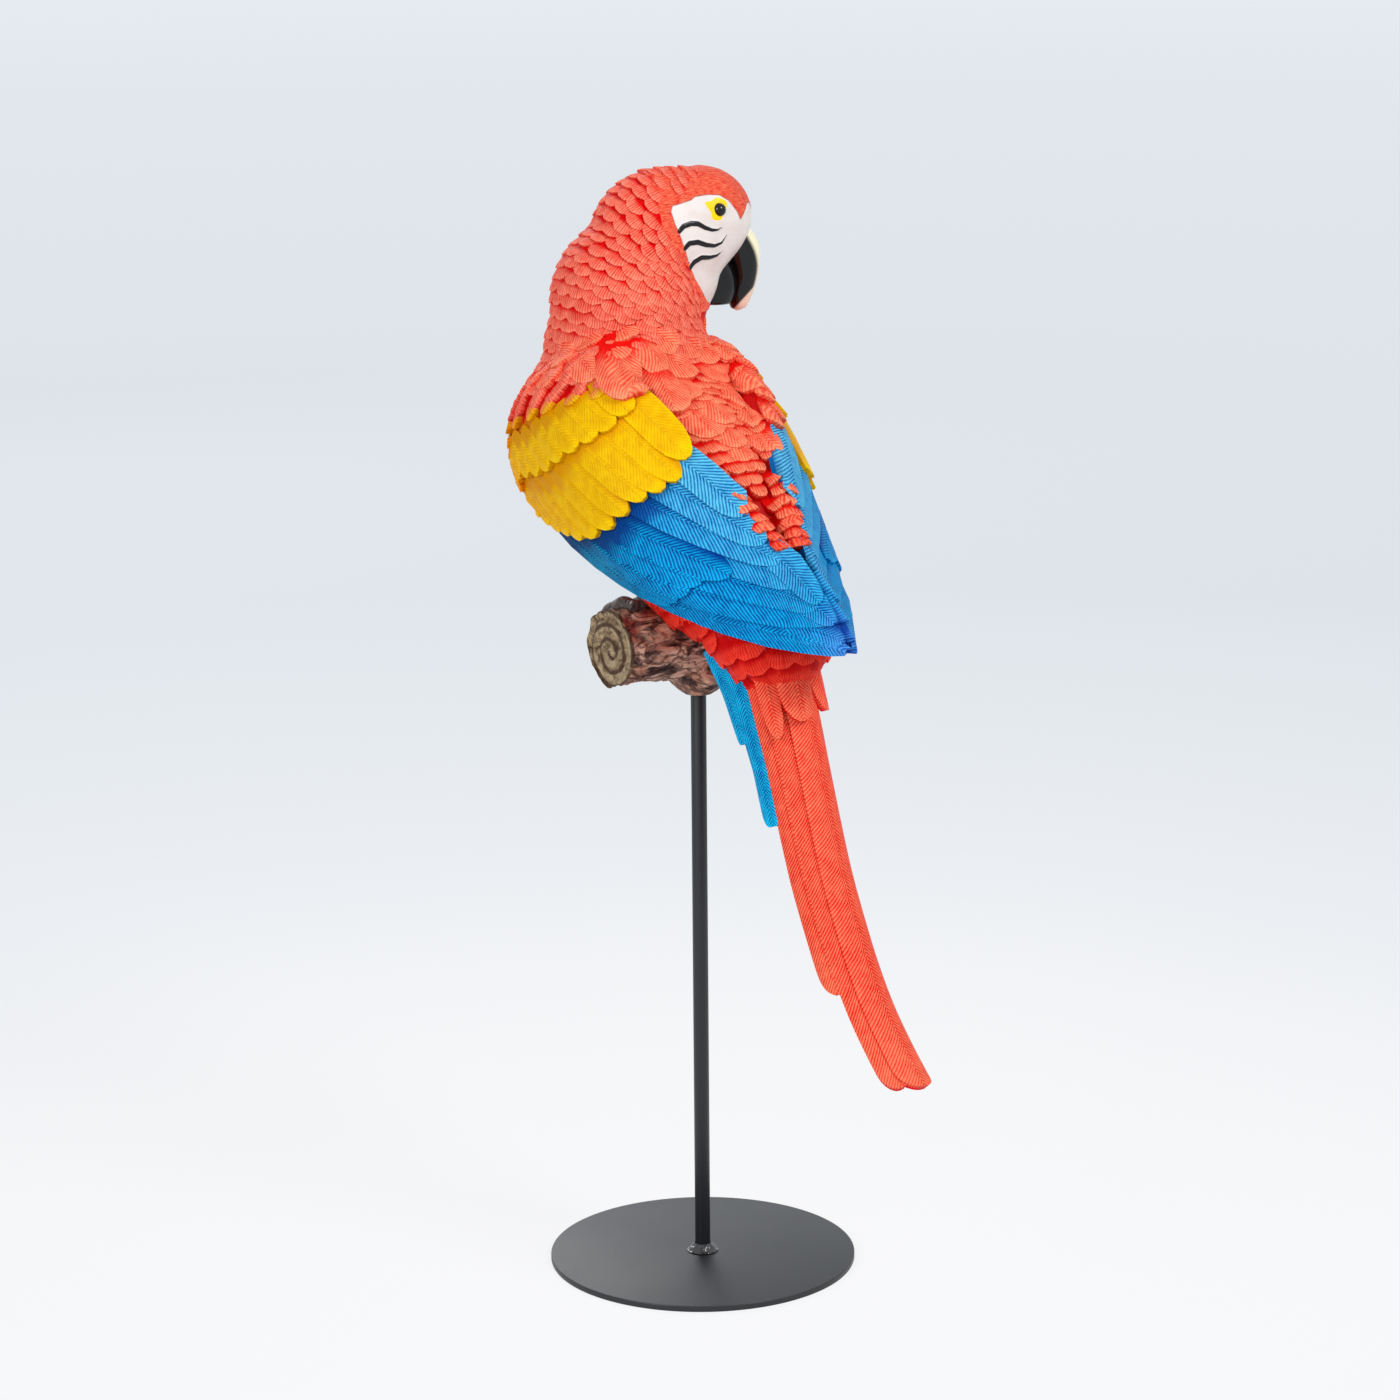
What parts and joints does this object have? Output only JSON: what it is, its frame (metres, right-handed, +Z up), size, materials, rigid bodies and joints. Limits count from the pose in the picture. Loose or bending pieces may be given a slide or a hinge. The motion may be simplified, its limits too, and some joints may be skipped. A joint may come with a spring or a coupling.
{
  "type": "parrot figurine",
  "caption": "Cast macaw figurine perched on a short cut branch, carried above a round plate by a thin rod.",
  "frame": {"origin": "middle of the plate's underside", "axes": "+Z up along the rod, the bird's breast towards -Y, its left wing towards +X"},
  "size_m": [0.1, 0.1812, 0.3551],
  "materials": {
    "stand_paint": "satin black paint on steel",
    "painted_resin": "hand-painted cast resin: red, yellow and blue plumage, white face, brown branch"
  },
  "bodies": {
    "root": {"base_plate": "stand_paint", "stand_rod": "stand_paint", "weld_bead": "stand_paint", "parrot_casting": "painted_resin"}
  },
  "joints": []
}
